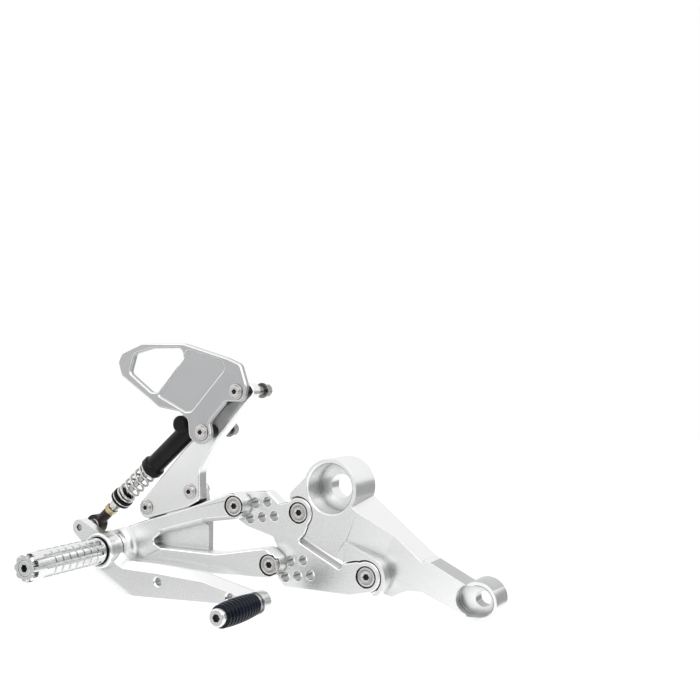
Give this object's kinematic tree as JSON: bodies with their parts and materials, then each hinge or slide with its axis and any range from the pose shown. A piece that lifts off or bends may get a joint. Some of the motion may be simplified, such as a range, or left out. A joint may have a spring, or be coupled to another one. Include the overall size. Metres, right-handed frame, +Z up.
{
  "type": "motorcycle rear set, brake side",
  "caption": "Adjustable right-hand motorcycle rear set: footpeg and brake pedal on a bolted plate, with a heel guard and a master cylinder pushed by the pedal.",
  "frame": {"origin": "axis of the upper frame bore, on the face that seats on the motorcycle's frame", "axes": "+X forward on the motorcycle, +Y inboard towards its frame, +Z up"},
  "size_m": [0.3853, 0.1645, 0.2217],
  "materials": {
    "satin_aluminium": "fine blasted and clear anodised, bright bevels",
    "guard_aluminium": "satin anodised",
    "bright_aluminium": "turned and knurled, bright",
    "piston_aluminium": "turned",
    "stainless_steel": "stainless, satin",
    "chromed_steel": "polished chrome",
    "dark_steel": "black oxide",
    "rod_end_steel": "dark brown phosphate",
    "yellow_zinc": "yellow passivated zinc plate on steel",
    "black_body": "black hard anodised",
    "black_plastic": "moulded, satin",
    "black_rubber": "moulded, matt",
    "toe_rubber": "moulded, navy black, satin",
    "bronze": "sintered bronze"
  },
  "bodies": {
    "plates": {"frame_plate": "satin_aluminium", "adjuster_plate": "satin_aluminium", "adjuster_screws": "stainless_steel", "step_plate": "satin_aluminium", "step_screws": "stainless_steel", "guard_bracket": "satin_aluminium", "bracket_screws": "stainless_steel", "bracket_nuts": "chromed_steel", "heel_guard": "guard_aluminium", "guard_screws": "stainless_steel", "guard_nuts": "chromed_steel", "guard_spacers": "chromed_steel", "footpeg": "bright_aluminium", "footpeg_bolt": "dark_steel", "pivot_sleeve": "stainless_steel", "thrust_washer": "stainless_steel", "pivot_seal": "black_rubber", "return_spring": "chromed_steel", "master_body": "black_body", "inlet_cap": "black_plastic", "dust_boot": "black_rubber", "circlip": "dark_steel", "stop_washer": "stainless_steel", "piston_spring": "stainless_steel"},
    "pedal": {"brake_pedal": "satin_aluminium", "pedal_bush": "bronze", "toe_peg_core": "bright_aluminium", "toe_peg_rubber": "toe_rubber", "toe_peg_bolt": "stainless_steel", "rod_end_ball": "stainless_steel", "rod_end_spacer": "stainless_steel", "rod_end_bolt": "stainless_steel"},
    "push_rod": {"rod_end": "rod_end_steel", "push_rod": "chromed_steel", "lock_nut": "yellow_zinc", "seat_cone": "chromed_steel", "spring_seat": "black_plastic", "seat_ring": "chromed_steel"},
    "piston": {"piston": "piston_aluminium", "rear_cup": "black_rubber", "front_cup": "black_rubber"}
  },
  "joints": [
    {"name": "pedal_pivot", "type": "hinge", "parent": "plates", "child": "pedal", "pos_m": [-0.2081, -0.066, -0.0629], "axis": [0, 1, 0], "range_deg": [0, 10], "stiffness_Nm_per_rad": 5, "springref_deg": -11.46, "deforming": ["return_spring", "piston_spring"]},
    {"name": "rod_end_pivot", "type": "hinge", "parent": "pedal", "child": "push_rod", "pos_m": [-0.2355, -0.0475, -0.0455], "axis": [0, 1, 0], "range_deg": [-10, 0.5]},
    {"name": "piston_slide", "type": "slide", "parent": "plates", "child": "piston", "axis": [0.7547, 0, 0.6561], "range_m": [0, 0.0057]}
  ],
  "couplings": [
    {"joint": "rod_end_pivot", "follows": "pedal_pivot", "ratio": -0.931},
    {"joint": "piston_slide", "follows": "pedal_pivot", "m_per_rad": 0.0317}
  ]
}
